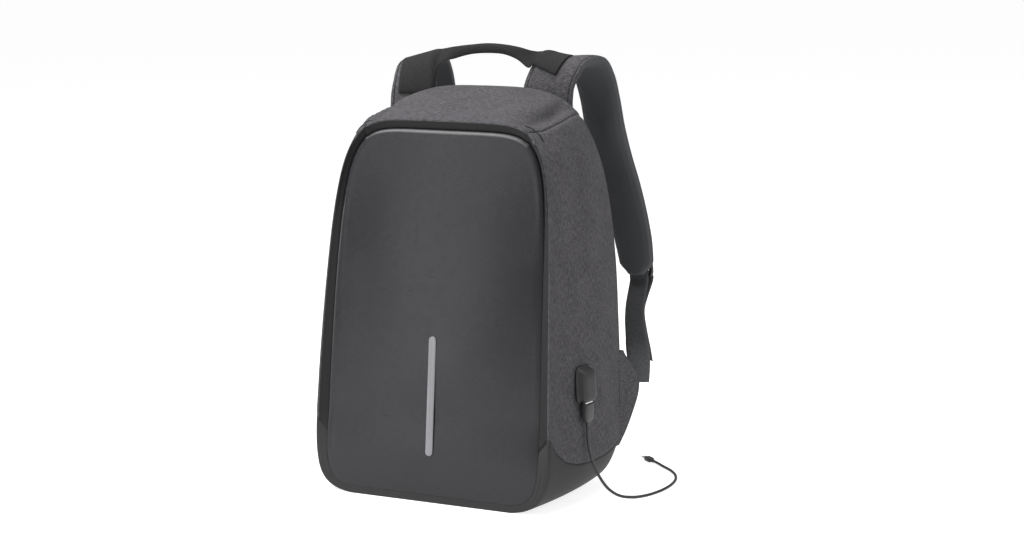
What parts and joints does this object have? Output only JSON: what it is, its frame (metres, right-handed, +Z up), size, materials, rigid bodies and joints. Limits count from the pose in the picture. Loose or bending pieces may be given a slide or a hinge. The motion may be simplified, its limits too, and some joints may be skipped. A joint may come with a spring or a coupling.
{
  "type": "backpack",
  "caption": "Upright soft backpack with a smooth front plate, heather cloth sides and top, a back zip, padded shoulder straps, a web handle and a side charging socket with a lead.",
  "frame": {"origin": "middle of the flat face of the base, on the surface it stands on", "axes": "+Z up, +Y from the front panel to the wearer's back, +X to the right of someone who looks at the front"},
  "size_m": [0.3753, 0.2513, 0.4597],
  "materials": {
    "front_cloth": "smooth dark grey coated cloth over a moulded panel",
    "reflective_film": "light grey retroreflective film",
    "coated_cloth": "dark coated cloth with a fine weave",
    "heather_cloth": "grey heather woven polyester",
    "zip_tape": "black woven zip tape",
    "padded_mesh": "black padded spacer mesh",
    "webbing": "black woven web",
    "black_plastic": "matte black moulded plastic",
    "slider_metal": "dark lacquered metal",
    "soft_rubber": "matte dark grey rubber",
    "plug_plastic": "matte dark grey plastic with a bright metal shell",
    "lead_jacket": "matte black jacket"
  },
  "bodies": {
    "root": {"front_panel": "front_cloth", "reflective_strip": "reflective_film", "rim_band": "coated_cloth", "top_panel": "heather_cloth", "side_panel_right": "heather_cloth", "side_panel_left": "heather_cloth", "base_panel": "coated_cloth", "back_zip": "zip_tape", "back_panel": "padded_mesh", "strap_pad_right": "padded_mesh", "strap_cover_right": "heather_cloth", "strap_pad_left": "padded_mesh", "strap_cover_left": "heather_cloth", "carry_handle": "webbing", "ladder_lock_right": "black_plastic", "strap_webbing_right": "webbing", "wing_right": "heather_cloth", "ladder_lock_left": "black_plastic", "strap_webbing_left": "webbing", "wing_left": "heather_cloth", "zip_slider": "slider_metal", "usb_port": "soft_rubber", "usb_plug": "plug_plastic", "lead_cord": "lead_jacket", "lead_connector": "plug_plastic"}
  },
  "joints": []
}
